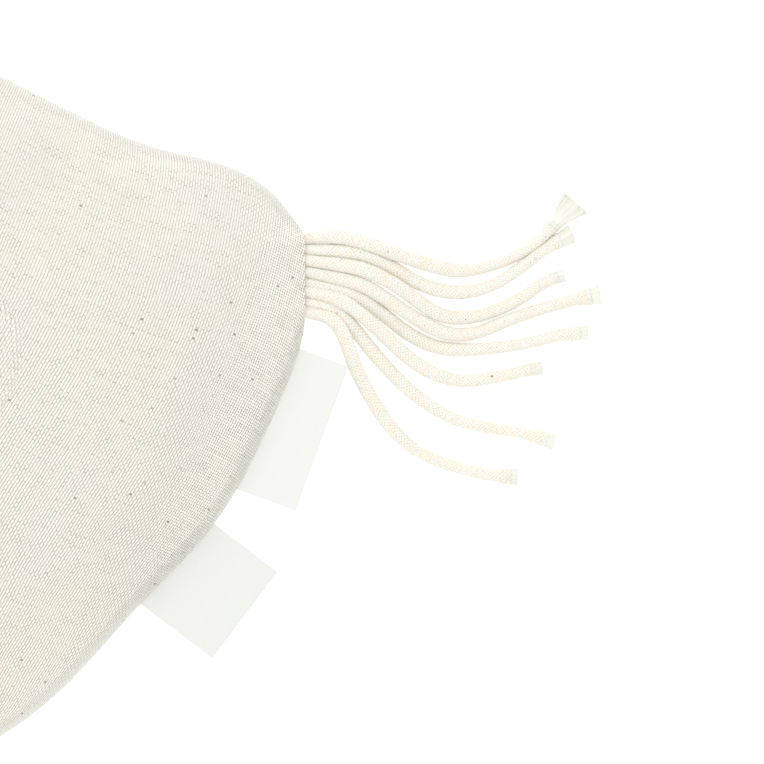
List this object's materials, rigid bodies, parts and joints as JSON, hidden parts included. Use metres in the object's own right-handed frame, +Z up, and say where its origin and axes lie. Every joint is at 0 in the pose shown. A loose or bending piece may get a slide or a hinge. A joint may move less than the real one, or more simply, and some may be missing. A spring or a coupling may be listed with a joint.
{
  "type": "herbal compress cushion",
  "caption": "Stuffed linen compress with a rounded end, a blunt tip, a tassel of braided cotton cords at the tip and two folded labels in its edge seam.",
  "frame": {"origin": "on the floor, at the centre of the resting face, under the centre of the rounded end", "axes": "+Z up, out of the crown of the cushion; +X the way the cords leave the tassel's mouth; +Y to the left of that way"},
  "size_m": [0.3575, 0.232, 0.046],
  "materials": {
    "linen": "plain-woven natural linen, matt",
    "cotton_cord": "braided cotton cord, matt",
    "ribbon": "woven ribbon, soft sheen",
    "thread": "spun sewing thread",
    "muslin": "open-woven cotton muslin",
    "cotton_tape": "narrow twill tape",
    "herbs": "dried herbs and grain, loose"
  },
  "bodies": {
    "cushion": {"front_cover": "linen", "back_cover": "linen", "seam_needle_thread": "thread", "seam_bobbin_thread": "thread", "closing_stitches": "thread", "pouch_front": "muslin", "pouch_back": "muslin", "pouch_thread": "thread", "herb_filling": "herbs", "cord_roots": "cotton_cord", "root_tape": "cotton_tape", "root_stitches": "thread", "long_label_tab": "ribbon", "square_label_tab": "ribbon"},
    "tassel": {"cord_1": "cotton_cord", "cord_2": "cotton_cord", "cord_3": "cotton_cord", "cord_4": "cotton_cord", "cord_5": "cotton_cord", "cord_6": "cotton_cord", "cord_7": "cotton_cord", "cord_8": "cotton_cord"},
    "long_label": {"long_label": "ribbon"},
    "square_label": {"square_label": "ribbon"}
  },
  "joints": [
    {"name": "tassel_lift", "type": "hinge", "parent": "cushion", "child": "tassel", "pos_m": [0.1531, 0.0395, 0.02285], "axis": [0, -1, 0], "range_deg": [0, 70]},
    {"name": "long_label_fold", "type": "hinge", "parent": "cushion", "child": "long_label", "pos_m": [0.143, -0.00439, 0.02], "axis": [-0.4162, -0.9093, 0], "range_deg": [-60, 90], "stiffness_Nm_per_rad": 0.002},
    {"name": "square_label_fold", "type": "hinge", "parent": "cushion", "child": "square_label", "pos_m": [0.11506, -0.04793, 0.02], "axis": [-0.6908, -0.723, 0], "range_deg": [-45, 90], "stiffness_Nm_per_rad": 0.003}
  ]
}
